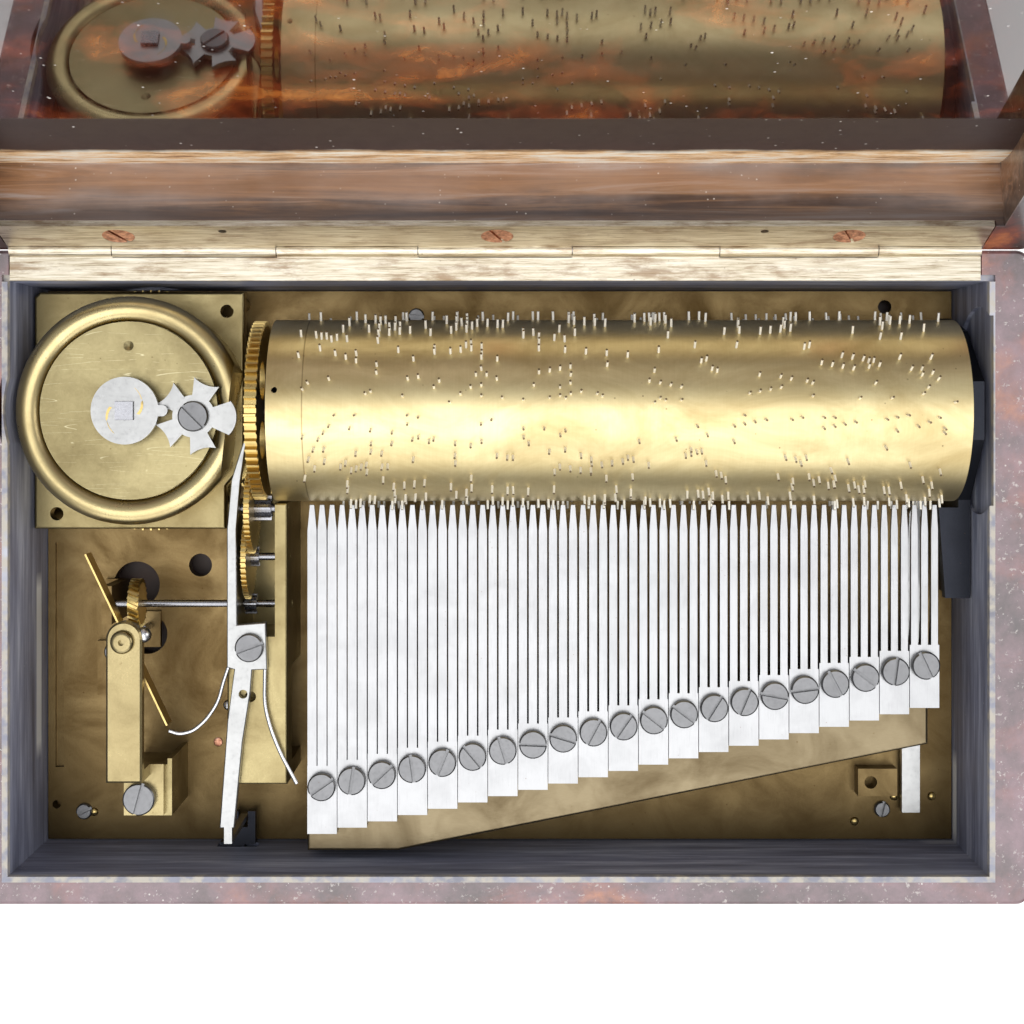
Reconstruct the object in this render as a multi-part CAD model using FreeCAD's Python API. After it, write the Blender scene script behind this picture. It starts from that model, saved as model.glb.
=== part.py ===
"""Pocket cylinder musical box: case, lid, spring, train, pinned cylinder and sectional comb.

Millimetres, +Z up.  The origin is on the underside of the case, midway between its ends.  The cylinder
lies along X behind the comb, the hinge is along the rear (+Y) edge, and the lid is stored open.
"""
import FreeCAD
import Part
import math
import os

V = FreeCAD.Vector

# ---- driving dimensions -------------------------------------------------------------------------
# case
CASE_X = 47.0            # half length outside
FRONT_Y = -29.5          # outside of the front wall
REAR_Y = 28.4            # outside of the rear wall, also the hinge pin's line
RIM_Z = 19.0             # top of the case walls
LINING = 0.5             # lining thickness
IN_X = 43.4              # inside faces of the lining
IN_FRONT = -27.0
IN_REAR = 25.7
CORNER = 1.2             # outside corner radius of case and lid
FLOOR = 2.2              # bottom panel
PLATE_Z = 3.7            # underside of the bedplate
PLATE_T = 1.6
BED = PLATE_Z + PLATE_T  # top of the bedplate
# lid
LID_GAP = 0.05           # daylight between lid and rim when closed
LID_H = 8.6              # height of the lid
LID_DEPTH = 6.4          # depth of its hollow at the rear edge
LID_BULGE = 0.95         # the padded inner panel stands this much prouder in its middle
LID_BORDER = 7.5         # width of the panel's rounded border
LID_REAR = 5.2           # thickness of the lid's rear edge
OPEN = 108.0             # degrees from closed to the stop
KNUCKLE_R = 0.62
PIN_R = 0.3
LEAF_T = 0.5             # thickness of both hinge leaves
HINGE_END_GAP = 0.1
KNUCKLE_ENDS = [-43.2, -34.1, -19.6, -7.1, 6.5, 19.5, 33.5, 42.6]
LEAF_SCREWS = (-33.0, -0.1, 30.5)
# bedplate fixings and the posts of the raised plate
BED_POSTS = ((-39.8, -24.2), (36.6, -24.0), (37.0, 21.0), (-8.0, 23.2))
PILLARS = ((-42.3, 24.2), (-42.3, 3.95), (-24.6, 24.3), (-26.2, 3.95))
# cylinder and great wheel
CYL_Y = 14.2
CYL_Z = 14.8
CYL_R = 8.2
CYL_X0 = -20.1
CYL_X1 = 41.0
TUBE_T = 0.7
ARBOR_R = 1.1
GREAT_TEETH = 64
GREAT_TIP = 8.1
GREAT_ROOT = 7.6
GREAT_X0 = -22.0
GREAT_X1 = -20.95
# spring housing and stop work
BX = -33.1
BY = 14.2
PLATE2_Z = 9.3           # underside of the raised plate
PLATE2_T = 1.5
HOUSE_Z = PLATE2_Z + PLATE2_T
HOUSE_R = 10.25
HOUSE_FLAT = 8.85        # distance of the flat from the arbor
HOUSE_TOP = 17.5
COVER_R = 7.95
COVER_Z = 16.4
COVER_T = 0.7
DRIVE_TEETH = 92
DRIVE_TIP = 11.4
DRIVE_ROOT = 10.9
DRIVE_Z = 6.4
DRIVE_T = 0.7
RATCHET_TEETH = 24
RATCHET_R = 4.6
RATCHET_DEPTH = 0.5
RATCHET_RAKE = 0.1       # radians that a tooth's steep face leans back
RATCHET_T = 0.8
CLICK = (2.6, 5.9)       # the click's pivot, from the winding arbor
CLICK_T = 0.7
CLICK_LIFT = 10.0        # degrees the click is stored clear of the ratchet
STAR_DX = 6.0
STAR_DY = -0.5
STAR_R = 3.45
STAR_LIFT = 0.45         # the star runs this far above the cover, clear of the rolled lip
FINGER_R = 3.0
# train
TRAIN_X0 = -24.5
TRAIN_X1 = -19.1
SLOT_X0 = -23.55
SLOT_X1 = -20.2
TRAIN_TOP = 15.7
P1_TEETH = 8
A_TEETH = 50
P2_TEETH = 10
B_TEETH = 45
P3_TEETH = 10
WORM_TEETH = 24
WORM_STARTS = 3
WORM_R = 0.6
WHEEL_PITCH_R = 2.15
WORM_PITCH = 2 * math.pi * WHEEL_PITCH_R / WORM_TEETH
Y1 = 5.37
Z1 = 14.8
Y2 = 0.845
Z2 = 13.2
Y3 = -3.595
Z3 = 12.0
WORM_X = -33.4
WORM_GAP = 2.75          # distance between the long arbor and the fly's axis
FLY_Y = Y3 - WORM_GAP
FLY_R = 8.5
FLY_ANGLE = 115.5        # the wings' direction at rest
WING_Z0 = 14.75
WING_Z1 = 16.8
COCK_Z = 17.1
# comb
TEETH_PER_SEGMENT = 3
SEGMENTS = 21
COMB_TOP = 15.2
COMB_T = 2.0
FIRST_SCREW = (-16.0, -19.75)
LAST_SCREW = (38.5, -8.8)
SEG_GAP = 0.06
TIP_Y = 5.65
LEAD_SEGMENTS = 8
# levers
LEVER_Z = 15.95
LEVER_T = 0.9
LEVER_X = -22.3
LEVER_Y = -7.0
WIRE_R = 0.17
CHANGE_PIVOT = (39.05, -12.0)


# ---- helpers ------------------------------------------------------------------------------------
def box(x0, x1, y0, y1, z0, z1):
    return Part.makeBox(x1 - x0, y1 - y0, z1 - z0, V(x0, y0, z0))


def rod_z(x, y, z0, z1, r):
    return Part.makeCylinder(r, z1 - z0, V(x, y, z0), V(0, 0, 1))


def rod_x(y, z, x0, x1, r):
    return Part.makeCylinder(r, x1 - x0, V(x0, y, z), V(1, 0, 0))


def rod_y(x, z, y0, y1, r):
    return Part.makeCylinder(r, y1 - y0, V(x, y0, z), V(0, 1, 0))


def prism(points, z0, z1):
    ring = [V(x, y, z0) for x, y in points]
    face = Part.Face(Part.makePolygon(ring + ring[:1]))
    return face.extrude(V(0, 0, z1 - z0))


def side_prism(points, x0, x1):
    """A prism along X from points given as (y, z)."""
    ring = [V(x0, y, z) for y, z in points]
    face = Part.Face(Part.makePolygon(ring + ring[:1]))
    return face.extrude(V(x1 - x0, 0, 0))


def rounded_block(x, y0, y1, z0, z1, r):
    """A block, symmetric in X, with its four upright edges rounded."""
    block = box(-x, x, y0, y1, z0, z1)
    upright = [e for e in block.Edges if abs(e.tangentAt(0).z) > 0.9]
    return block.makeFillet(r, upright)


def cut_all(shape, tools):
    return shape.cut(Part.makeCompound(tools))


def fuse_all(shapes):
    first = shapes[0]
    return first.fuse(shapes[1:]).removeSplitter() if len(shapes) > 1 else first


def gear(teeth, tip, root, width, tooth_at, top=0.2, base=0.46, bore=0.0):
    """A toothed disc about +Z from z=0.  top and base are tooth widths as shares of the pitch."""
    pitch = 2 * math.pi / teeth
    ring = []
    for i in range(teeth):
        middle = math.radians(tooth_at) + i * pitch
        for radius, share in ((root, -base), (tip, -top), (tip, top), (root, base)):
            a = middle + share * pitch / 2
            ring.append(V(radius * math.cos(a), radius * math.sin(a), 0))
    face = Part.Face(Part.makePolygon(ring + ring[:1]))
    solid = face.extrude(V(0, 0, width))
    return solid.cut(rod_z(0, 0, -1, width + 1, bore)) if bore else solid


def along_x(shape, x, y, z):
    """Turn a shape made about +Z so that its axis is +X, and put its base at x."""
    turned = shape.copy()
    turned.rotate(V(0, 0, 0), V(0, 1, 0), 90)
    turned.translate(V(x, y, z))
    return turned


def aim(dy, dz):
    """Angle, in the gear's own plane, of a direction given as (dy, dz), for a gear about +X."""
    return math.degrees(math.atan2(dy, -dz))


def gap_at(angle, teeth):
    return angle + 180.0 / teeth


def slotted_screw(x, y, z, head_r, head_h, shaft_r, shaft_l, slot_angle, dome=0.12):
    """A slotted cheese-head screw standing on z, with a softened rim."""
    head = rod_z(x, y, z, z + head_h, head_r)
    head = head.makeChamfer(dome, [e for e in head.Edges if abs(e.CenterOfMass.z - z - head_h) < 1e-6
                                   and len(e.Vertexes) == 1])
    slot = box(-head_r * 1.2, head_r * 1.2, -0.15, 0.15, head_h - 0.35, head_h + 1)
    slot.rotate(V(0, 0, 0), V(0, 0, 1), slot_angle)
    slot.translate(V(x, y, z))
    shaft = rod_z(x, y, z - shaft_l, z, shaft_r)
    return head.cut(slot).fuse(shaft)


def wire_tube(points, r):
    """A round wire along straight runs joined by small arcs."""
    pts = [V(*p) for p in points]
    edges = []
    start = pts[0]
    for a, b, c in zip(pts, pts[1:], pts[2:]):
        u = (b - a).normalize()
        w = (c - b).normalize()
        turn = u.getAngle(w)
        reach = 0.45 * min((b - a).Length, (c - b).Length)
        enter = b - u * reach
        leave = b + w * reach
        radius = reach / math.tan(turn / 2)
        inward = (w - u).normalize()
        centre = b + inward * (radius / math.cos(turn / 2))
        middle = centre + (b - centre).normalize() * radius
        edges.append(Part.LineSegment(start, enter).toShape())
        edges.append(Part.Arc(enter, middle, leave).toShape())
        start = leave
    edges.append(Part.LineSegment(start, pts[-1]).toShape())
    path = Part.Wire(edges)
    circle = Part.Wire([Part.Circle(pts[0], pts[1] - pts[0], r).toShape()])
    return path.makePipeShell([circle], True, False)


NODES = {}


def keep(name, shape):
    NODES[name] = shape


# ---- case ---------------------------------------------------------------------------------------
def wall_relief(grow):
    """Room that the walls leave for the drive wheel and the housing's lip."""
    wheel = rod_z(BX, BY, BED, HOUSE_Z, DRIVE_TIP + 0.4 + grow)
    lip = rod_z(BX, BY, HOUSE_Z, RIM_Z + 1, HOUSE_R + 0.45 + grow)
    return [wheel, lip]


def case_parts():
    outer = rounded_block(CASE_X, FRONT_Y, REAR_Y, 0, RIM_Z, CORNER)
    rim_edges = [e for e in outer.Edges if e.CenterOfMass.z > RIM_Z - 1e-6 and e.CenterOfMass.y < REAR_Y - 1]
    outer = outer.makeFillet(0.35, rim_edges)
    hollow = box(-IN_X - LINING, IN_X + LINING, IN_FRONT - LINING, IN_REAR + LINING, -1, RIM_Z + 1)
    x0 = KNUCKLE_ENDS[0] - HINGE_END_GAP
    x1 = KNUCKLE_ENDS[-1] + HINGE_END_GAP
    leaf_seat = box(x0, x1, IN_REAR, REAR_Y - 0.4, RIM_Z - LEAF_T, RIM_Z + 1)
    channel = rod_x(REAR_Y, RIM_Z, x0, x1, KNUCKLE_R + 0.08)
    slide_slot = box(-26.7, -22.9, FRONT_Y - 1, IN_FRONT + 1, 6.4, 8.0)
    shell = cut_all(outer, [hollow, leaf_seat, channel, slide_slot] + wall_relief(LINING))
    keep("case_shell", shell)

    liner = box(-IN_X - LINING, IN_X + LINING, IN_FRONT - LINING, IN_REAR + LINING, FLOOR, RIM_Z)
    inside = box(-IN_X, IN_X, IN_FRONT, IN_REAR, FLOOR - 1, RIM_Z + 1)
    rear_step = box(-CASE_X, CASE_X, IN_REAR - 0.1, REAR_Y, RIM_Z - LEAF_T, RIM_Z + 1)
    scoop = rod_x(CYL_Y, CYL_Z, IN_X - 1, IN_X + 0.35, 9.4)
    ring = cut_all(liner, [inside, slide_slot, rear_step, scoop] + wall_relief(0.0))
    keep("case_lining", ring)

    panel = box(-IN_X - LINING, IN_X + LINING, IN_FRONT - LINING, IN_REAR + LINING, 0, FLOOR)
    keep("case_bottom", panel.cut(rod_z(BX, BY, -1, FLOOR + 1, 2.6)))


def knuckles(first):
    """Every second hinge knuckle, from index first, bored for the pin."""
    out = []
    for i in range(first, len(KNUCKLE_ENDS) - 1, 2):
        out.append(rod_x(REAR_Y, RIM_Z, KNUCKLE_ENDS[i] + 0.04, KNUCKLE_ENDS[i + 1] - 0.04, KNUCKLE_R))
    return out


def hinge_parts():
    x0 = KNUCKLE_ENDS[0]
    x1 = KNUCKLE_ENDS[-1]
    bore = rod_x(REAR_Y, RIM_Z, x0 - 1, x1 + 1, PIN_R + 0.03)
    strip = box(x0, x1, IN_REAR, REAR_Y - 0.45, RIM_Z - LEAF_T, RIM_Z)
    webs = []
    room = []
    for i in range(len(KNUCKLE_ENDS) - 1):
        a = KNUCKLE_ENDS[i] + 0.04
        b = KNUCKLE_ENDS[i + 1] - 0.04
        if i % 2 == 0:
            webs.append(box(a, b, REAR_Y - 0.6, REAR_Y, RIM_Z - LEAF_T, RIM_Z - 0.05))
        else:
            room.append(rod_x(REAR_Y, RIM_Z, a - 0.04, b + 0.04, KNUCKLE_R + 0.06))
    body = cut_all(fuse_all([strip] + webs + knuckles(0)), [bore] + room)
    keep("case_hinge_leaf", body)
    keep("hinge_pin", rod_x(REAR_Y, RIM_Z, x0, x1, PIN_R))


# ---- lid: built closed, then turned open about the hinge pin ------------------------------------
def opened(shape):
    turned = shape.copy()
    turned.rotate(V(0, REAR_Y, RIM_Z), V(1, 0, 0), -OPEN)
    return turned


def lid_parts():
    z0 = RIM_Z + LID_GAP
    top = z0 + LID_H
    rear_in = REAR_Y - LID_REAR
    outer = rounded_block(CASE_X, FRONT_Y, REAR_Y, z0, top, CORNER)
    crown = [e for e in outer.Edges if e.CenterOfMass.z > top - 1e-6]
    outer = outer.makeFillet(0.9, crown)
    hollow = box(-IN_X, IN_X, IN_FRONT, rear_in, z0 - 1, z0 + LID_DEPTH)
    x0 = KNUCKLE_ENDS[0] - HINGE_END_GAP
    x1 = KNUCKLE_ENDS[-1] + HINGE_END_GAP
    channel = rod_x(REAR_Y, RIM_Z, x0, x1, KNUCKLE_R + 0.08)
    seat = box(x0, x1, rear_in, REAR_Y - 0.3, z0 - 1, z0 + LEAF_T)
    screw_holes = [rod_z(x, rear_in + 2.3, z0, z0 + 2.6, 0.55) for x in LEAF_SCREWS]
    keep("lid_shell", opened(cut_all(outer, [hollow, channel, seat] + screw_holes)))

    edge_z = z0 + LID_DEPTH - 0.5
    crest = edge_z - LID_BULGE
    up = z0 + LID_DEPTH
    y0 = IN_FRONT
    shoulder = 0.3 * LID_BORDER
    shoulder_z = edge_z - 0.6 * LID_BULGE
    pad = [(y0, edge_z), (y0 + shoulder, shoulder_z), (y0 + LID_BORDER, crest),
           (rear_in - LID_BORDER, crest), (rear_in - shoulder, shoulder_z), (rear_in, edge_z)]
    a, b, c, d, e, f = [V(-IN_X, y, z) for y, z in pad]
    ring = Part.Wire([Part.Arc(a, b, c).toShape(), Part.LineSegment(c, d).toShape(),
                      Part.Arc(d, e, f).toShape(),
                      Part.LineSegment(f, V(-IN_X, rear_in, up)).toShape(),
                      Part.LineSegment(V(-IN_X, rear_in, up), V(-IN_X, IN_FRONT, up)).toShape(),
                      Part.LineSegment(V(-IN_X, IN_FRONT, up), a).toShape()])
    keep("lid_panel", opened(Part.Face(ring).extrude(V(2 * IN_X, 0, 0))))

    x0 = KNUCKLE_ENDS[0]
    x1 = KNUCKLE_ENDS[-1]
    strip = box(x0, x1, rear_in + 0.1, REAR_Y - 0.45, z0, z0 + 0.5)
    webs = []
    room = []
    for i in range(len(KNUCKLE_ENDS) - 1):
        a = KNUCKLE_ENDS[i] + 0.04
        b = KNUCKLE_ENDS[i + 1] - 0.04
        if i % 2 == 1:
            webs.append(box(a, b, REAR_Y - 0.6, REAR_Y, z0, z0 + 0.45))
        else:
            room.append(rod_x(REAR_Y, RIM_Z, a - 0.04, b + 0.04, KNUCKLE_R + 0.06))
    bore = rod_x(REAR_Y, RIM_Z, x0 - 1, x1 + 1, PIN_R + 0.03)
    holes = [Part.makeCone(1.45, 0.6, 0.5, V(x, rear_in + 2.3, z0), V(0, 0, 1)) for x in LEAF_SCREWS]
    spare = [rod_z(x, rear_in + 1.2, z0 - 1, z0 + 1, 0.35) for x in (-23.8, 23.0)]
    leaf = cut_all(fuse_all([strip] + webs + knuckles(1)), [bore] + room + holes + spare)
    keep("lid_hinge_leaf", opened(leaf))

    screws = []
    for i, x in enumerate(LEAF_SCREWS):
        y = rear_in + 2.3
        head = Part.makeCone(1.4, 0.55, 0.5, V(x, y, z0 + 0.02), V(0, 0, 1))
        slot = box(-2, 2, -0.14, 0.14, -0.1, 0.22)
        slot.rotate(V(0, 0, 0), V(0, 0, 1), 62 + 3 * i)
        slot.translate(V(x, y, z0))
        shank = rod_z(x, y, z0 + 0.4, z0 + 2.5, 0.5)
        screws.append(head.fuse(shank).cut(slot))
    keep("lid_leaf_screws", opened(Part.makeCompound(screws)))


# ---- bedplate and raised plate ------------------------------------------------------------------
def frame_parts():
    plate = box(-IN_X + 0.1, IN_X - 0.1, IN_FRONT + 0.1, IN_REAR - 0.1, PLATE_Z, BED)
    holes = [rod_z(-28.7, -0.65, 0, 9, 1.1), rod_z(-34.8, -2.5, 0, 9, 2.2), rod_z(-33.8, -7.25, 0, 9, 1.92),
             rod_z(-32.4, -20.9, 0, 9, 0.42), rod_z(36.9, 24.1, 0, 9, 0.65), rod_z(BX, BY, 0, 9, 1.05),
             rod_z(-42.5, -23.6, 0, 9, 0.4), rod_z(-36.6, -8.8, 0, 9, 0.55)]
    groove = box(-42.6, -41.8, -20.0, 1.5, BED - 0.4, BED + 1)
    keep("bedplate", cut_all(plate, holes + [groove]))

    lugs = [box(x - 3, x + 3, y - 2.2, y + 2.2, FLOOR, PLATE_Z) for x, y in BED_POSTS]
    keep("bedplate_blocks", Part.makeCompound(lugs))
    fixings = [slotted_screw(x, y, BED, 0.75, 0.5, 0.4, 2.8, 25 + 50 * i)
               for i, (x, y) in enumerate(BED_POSTS)]
    seats = [rod_z(x, y, FLOOR - 1, BED, 0.4) for x, y in BED_POSTS]
    NODES["bedplate"] = cut_all(NODES["bedplate"], seats)
    NODES["bedplate_blocks"] = cut_all(NODES["bedplate_blocks"], seats)
    keep("bedplate_screws", Part.makeCompound(fixings))

    outline = [(-43.2, 3.2), (-25.4, 3.2), (-25.4, 7.2), (-24.2, 8.6), (-23.7, 9.9), (-23.7, 25.2),
               (-42.7, 25.2), (-43.2, 24.7)]
    raised = prism(outline, PLATE2_Z, HOUSE_Z)
    raised = raised.makeFillet(0.25, [e for e in raised.Edges if abs(e.CenterOfMass.z - HOUSE_Z) < 1e-6])
    bores = [rod_z(BX, BY, PLATE2_Z - 1, HOUSE_Z + 1, 1.65)]
    bores += [rod_z(x, y, PLATE2_Z - 1, HOUSE_Z + 1, 0.62) for x, y in ((-25.3, 23.4), (-41.1, 4.6))]
    keep("raised_plate", cut_all(raised, bores))
    pillars = [rod_z(x, y, BED, PLATE2_Z, 0.7) for x, y in PILLARS]
    keep("raised_plate_pillars", Part.makeCompound(pillars))


# ---- spring housing, winding and stop work ------------------------------------------------------
def housing_parts():
    crown = HOUSE_R - 1.15
    ring = [V(1.7, 0, HOUSE_Z), V(HOUSE_R - 0.35, 0, HOUSE_Z), V(HOUSE_R - 0.35, 0, HOUSE_TOP - 1.6)]
    edges = [Part.LineSegment(ring[0], ring[1]).toShape(), Part.LineSegment(ring[1], ring[2]).toShape()]
    lip_out = V(HOUSE_R, 0, HOUSE_TOP - 1.0)
    edges.append(Part.LineSegment(ring[2], lip_out).toShape())
    lip_in = V(COVER_R + 0.05, 0, HOUSE_TOP - 0.75)
    edges.append(Part.Arc(lip_out, V(crown, 0, HOUSE_TOP), lip_in).toShape())
    inner = [lip_in, V(COVER_R + 0.05, 0, COVER_Z), V(COVER_R - 0.5, 0, COVER_Z),
             V(COVER_R - 0.5, 0, HOUSE_Z + 0.8), V(1.7, 0, HOUSE_Z + 0.8), ring[0]]
    edges += [Part.LineSegment(p, q).toShape() for p, q in zip(inner, inner[1:])]
    drum = Part.Face(Part.Wire(edges)).revolve(V(0, 0, 0), V(0, 0, 1), 360)
    flat = box(HOUSE_FLAT, HOUSE_R + 2, -HOUSE_R, HOUSE_R, HOUSE_Z - 1, HOUSE_TOP + 1)
    flat.rotate(V(0, 0, 0), V(0, 0, 1), -6.4)
    drum = drum.cut(flat)
    drum.translate(V(BX, BY, 0))
    keep("spring_housing", drum)

    cover = rod_z(BX, BY, COVER_Z, COVER_Z + COVER_T, COVER_R)
    dimple = Part.makeCone(0.05, 0.45, 0.25, V(BX, BY + 5.8, COVER_Z + COVER_T - 0.25), V(0, 0, 1))
    boss = rod_z(BX + STAR_DX, BY + STAR_DY, COVER_Z + COVER_T, COVER_Z + COVER_T + STAR_LIFT - 0.05, 1.3)
    star_seat = rod_z(BX + STAR_DX, BY + STAR_DY, COVER_Z, COVER_Z + 2, 0.6)
    keep("housing_cover", cut_all(cover.fuse(boss), [rod_z(BX, BY, 0, 30, 1.05), dimple, star_seat]))

    keep("mainspring", mainspring())


def mainspring():
    """A spiral band between the arbor's hub and the housing wall."""
    turns = 5.5
    r_in = 2.35
    r_out = COVER_R - 0.8
    band = 0.24
    steps = int(turns * 12)

    def curve(offset):
        pts = []
        for i in range(steps + 1):
            t = i / steps
            a = 2 * math.pi * turns * t
            r = r_in + (r_out - r_in) * t + offset
            pts.append(V(r * math.cos(a), r * math.sin(a), 0))
        spline = Part.BSplineCurve()
        spline.interpolate(pts)
        return spline.toShape(), pts

    inner, a = curve(0)
    outer, b = curve(band)
    ends = [Part.LineSegment(a[0], b[0]).toShape(), Part.LineSegment(a[-1], b[-1]).toShape()]
    face = Part.Face(Part.Wire(Part.__sortEdges__([inner, outer] + ends)))
    spiral = face.extrude(V(0, 0, COVER_Z - HOUSE_Z - 1.3))
    spiral.translate(V(BX, BY, HOUSE_Z + 1.05))
    return spiral


def drive_parts():
    wheel = gear(DRIVE_TEETH, DRIVE_TIP, DRIVE_ROOT, DRIVE_T, 0, top=0.18, base=0.4, bore=1.55)
    windows = []
    for i in range(5):
        a = math.radians(72 * i + 36)
        windows.append(rod_z(7.6 * math.cos(a), 7.6 * math.sin(a), -1, 2, 1.9))
    wheel = cut_all(wheel, windows)
    wheel.translate(V(BX, BY, DRIVE_Z))
    seat = rod_z(BX + CLICK[0], BY + CLICK[1], DRIVE_Z - 1, DRIVE_Z + 2, 0.4)
    keep("drive_wheel", wheel.cut(seat))

    z = DRIVE_Z + DRIVE_T + 0.08
    ring = []
    pitch = 2 * math.pi / RATCHET_TEETH
    for i in range(RATCHET_TEETH):
        a = (i + 0.5) * pitch
        for radius, angle in ((RATCHET_R - RATCHET_DEPTH, a - RATCHET_RAKE), (RATCHET_R, a)):
            ring.append(V(radius * math.cos(angle), radius * math.sin(angle), 0))
    ratchet = Part.Face(Part.makePolygon(ring + ring[:1])).extrude(V(0, 0, RATCHET_T))
    ratchet.translate(V(BX, BY, z))
    keep("ratchet_wheel", ratchet.cut(box(BX - 1.2, BX + 1.2, BY - 1.2, BY + 1.2, z - 1, z + 2)))

    shoulder = COVER_Z + COVER_T + 0.06
    seat_z = COVER_Z + COVER_T + STAR_LIFT + 0.68
    arbor = fuse_all([rod_z(BX, BY, 3.2, DRIVE_Z, 1.0), rod_z(BX, BY, DRIVE_Z, z - 0.02, 1.5),
                      box(BX - 1.2, BX + 1.2, BY - 1.2, BY + 1.2, z - 0.02, z + 0.8),
                      rod_z(BX, BY, z + 0.8, HOUSE_Z + 0.9, 1.6), rod_z(BX, BY, HOUSE_Z + 0.9, 16.0, 2.1),
                      rod_z(BX, BY, 16.0, shoulder, 1.0), rod_z(BX, BY, shoulder, seat_z, 1.4),
                      box(BX - 0.8, BX + 0.8, BY - 0.8, BY + 0.8, seat_z, seat_z + 0.95),
                      box(BX - 0.9, BX + 0.9, BY - 0.9, BY + 0.9, 0.5, 3.2)])
    keep("winding_arbor", arbor)

    click_parts(z)


def click_parts(z):
    """The click that holds the ratchet, its shouldered screw and its leaf spring, all on the drive wheel."""
    cx = BX + CLICK[0]
    cy = BY + CLICK[1]
    nose = prism([(BX - 0.04, BY + 4.3), (BX + 2.1, BY + 5.55), (cx, cy), (BX + 2.3, BY + 6.55),
                  (BX - 0.42, BY + 4.75)], z, z + CLICK_T)
    pawl = nose.fuse(rod_z(cx, cy, z, z + CLICK_T, 0.75))
    pawl = pawl.cut(rod_z(cx, cy, z - 1, z + 2, 0.44))
    pawl.rotate(V(cx, cy, 0), V(0, 0, 1), -CLICK_LIFT)
    keep("click", pawl)
    stud = rod_z(cx, cy, DRIVE_Z, z + 0.75, 0.4).fuse(rod_z(cx, cy, z + 0.75, z + 1.1, 0.7))
    stud = stud.cut(box(cx - 1, cx + 1, cy - 0.1, cy + 0.1, z + 0.95, z + 2))
    keep("click_screw", stud)
    root = box(BX + 5.0, BX + 5.6, BY + 6.6, BY + 7.3, z - 0.08, z + 0.6)
    leaf = prism([(BX + 5.1, BY + 7.05), (BX + 2.6, BY + 6.95), (BX + 0.5, BY + 5.95), (BX + 0.45, BY + 5.82),
                  (BX + 2.6, BY + 6.78), (BX + 5.1, BY + 6.85)], z, z + 0.6)
    keep("click_spring", root.fuse(leaf))


def stop_work_parts():
    z = COVER_Z + COVER_T
    sx = BX + STAR_DX
    sy = BY + STAR_DY
    star_z = z + STAR_LIFT
    body = rod_z(0, 0, 0, 0.6, 1.9)
    arms = []
    for i in range(5):
        half = math.radians(20 if i else 25)
        neck = math.radians(34)
        tip = STAR_R + (0.1 if i == 0 else 0.0)
        flare_x = tip * math.cos(half)
        flare_y = tip * math.sin(half)
        pts = [V(math.cos(neck), -math.sin(neck), 0), V(flare_x, -flare_y, 0), V(flare_x, flare_y, 0),
               V(math.cos(neck), math.sin(neck), 0)]
        crown = tip + 0.25 if i == 0 else tip * math.cos(half) - 0.28
        edges = [Part.LineSegment(pts[0], pts[1]).toShape(),
                 Part.Arc(pts[1], V(crown, 0, 0), pts[2]).toShape(),
                 Part.LineSegment(pts[2], pts[3]).toShape(), Part.LineSegment(pts[3], pts[0]).toShape()]
        arm = Part.Face(Part.Wire(edges)).extrude(V(0, 0, 0.6))
        arm.rotate(V(0, 0, 0), V(0, 0, 1), 72 * i - 3)
        arms.append(arm)
    star = fuse_all([body] + arms)
    star.translate(V(sx, sy, star_z))
    keep("stop_star", star.cut(rod_z(sx, sy, 0, 30, 0.65)))
    keep("star_screw", slotted_screw(sx, sy, star_z + 0.65, 1.36, 0.45, 0.6, star_z + 0.65 - COVER_Z, -45))

    disc = rod_z(BX, BY, star_z + 0.68, star_z + 1.28, FINGER_R)
    finger = box(BX, BX + 3.3, BY - 0.5, BY + 0.5, star_z + 0.68, star_z + 1.28)
    tip = rod_z(BX + 3.3, BY, star_z + 0.68, star_z + 1.28, 0.5)
    hole = box(BX - 0.83, BX + 0.83, BY - 0.83, BY + 0.83, star_z, star_z + 3)
    keep("stop_finger", fuse_all([disc, finger, tip]).cut(hole))


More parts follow.
